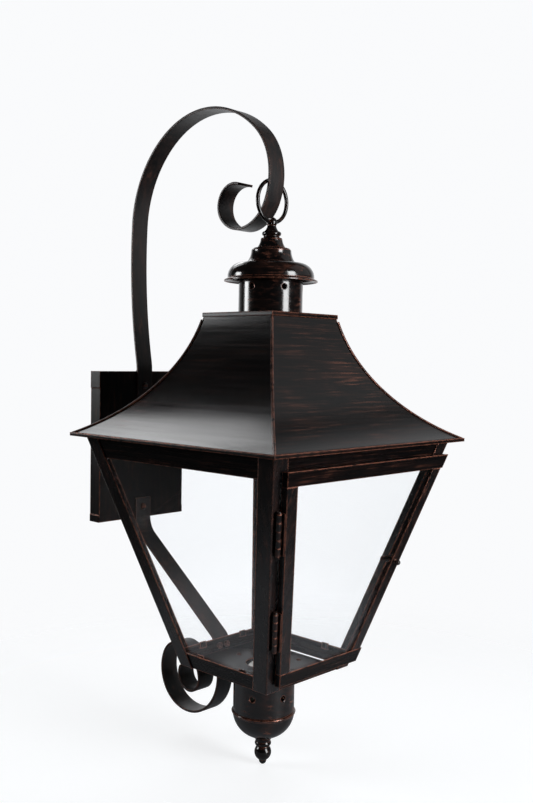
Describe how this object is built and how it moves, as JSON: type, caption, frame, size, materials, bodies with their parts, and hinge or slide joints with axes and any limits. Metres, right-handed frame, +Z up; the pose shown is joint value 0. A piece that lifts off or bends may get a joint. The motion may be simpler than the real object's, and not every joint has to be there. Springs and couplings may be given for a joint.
{
  "type": "outdoor wall lantern",
  "caption": "Glazed tapering lantern with a hollow-curved roof and capped chimney, held off the wall by a scrolled flat bar and a lower scrolled arm, with a hinged door.",
  "frame": {"origin": "centre of the wall box's back, on the wall plane", "axes": "+X right along the wall seen from the front, +Y into the wall, +Z up; the lantern stands out towards -Y"},
  "size_m": [0.33, 0.419, 0.7938],
  "materials": {
    "box_paint": "satin black over brown, rubbed at the edges",
    "bar_black": "matt black with rubbed copper edges",
    "clear_glass": "clear flat glass",
    "zinc_steel": "zinc-plated steel",
    "bush_rubber": "black rubber",
    "terminal_plastic": "natural nylon",
    "ceramic": "glazed white ceramic",
    "contact_brass": "plain brass",
    "dark_fixings": "blackened, rubbed to copper on high points",
    "gloss_black": "gloss near-black",
    "roof_patina": "satin black with brushed-through copper streaks",
    "spun_patina": "satin black with mottled copper patches",
    "frame_patina": "satin black with copper-rubbed edges"
  },
  "bodies": {
    "lantern": {"bottom_rail_back": "frame_patina", "bottom_rail_front": "frame_patina", "bottom_rail_left": "frame_patina", "bottom_rail_right": "frame_patina", "box_lugs": "zinc_steel", "bracket_bolts": "dark_fixings", "bracket_nuts": "zinc_steel", "cable_bush": "bush_rubber", "chimney": "spun_patina", "drum": "spun_patina", "drum_bowl": "spun_patina", "drum_screws": "dark_fixings", "eave_frame": "frame_patina", "finial_nuts": "zinc_steel", "floor_plate": "frame_patina", "glass_back": "clear_glass", "glass_clips": "frame_patina", "glass_left": "clear_glass", "glass_right": "clear_glass", "gooseneck": "bar_black", "hinge_pins": "dark_fixings", "hip_seams": "frame_patina", "holder_bridge": "zinc_steel", "holder_screw": "zinc_steel", "lampholder": "ceramic", "lampholder_contact": "contact_brass", "lower_arm": "bar_black", "lower_finial": "gloss_black", "lower_hinge_post_leaf": "dark_fixings", "mounting_plate": "zinc_steel", "post_back_left": "frame_patina", "post_back_right": "frame_patina", "post_front_left": "frame_patina", "post_front_right": "frame_patina", "rail_nuts": "zinc_steel", "rail_screws": "dark_fixings", "roof_back": "roof_patina", "roof_front": "roof_patina", "roof_left": "roof_patina", "roof_right": "roof_patina", "roof_top_band": "frame_patina", "terminal_block": "terminal_plastic", "top_finial": "gloss_black", "top_frame": "frame_patina", "upper_hinge_post_leaf": "dark_fixings", "vent_cap": "spun_patina", "wall_box": "box_paint", "wall_box_screws": "dark_fixings"},
    "door": {"door_glass": "clear_glass", "door_glass_clips": "frame_patina", "door_rail_bottom": "frame_patina", "door_rail_top": "frame_patina", "door_stile_left": "frame_patina", "door_stile_right": "frame_patina", "lower_hinge_door_leaf": "dark_fixings", "upper_hinge_door_leaf": "dark_fixings"},
    "latch": {"latch_knob": "gloss_black", "latch_tongue": "gloss_black"},
    "ring": {"ring": "gloss_black"}
  },
  "joints": [
    {"name": "door_hinge", "type": "hinge", "parent": "lantern", "child": "door", "pos_m": [-0.12173, -0.38548, -0.056], "axis": [0.2739, 0.2739, -0.922], "range_deg": [0, 110]},
    {"name": "latch_turn", "type": "hinge", "parent": "door", "child": "latch", "pos_m": [0.0938, -0.3648, -0.113], "axis": [0, -0.9586, -0.2847], "range_deg": [0, 180]},
    {"name": "ring_swing", "type": "hinge", "parent": "lantern", "child": "ring", "pos_m": [0, -0.254, 0.2782], "axis": [-1, 0, 0], "range_deg": [0, 80]}
  ]
}
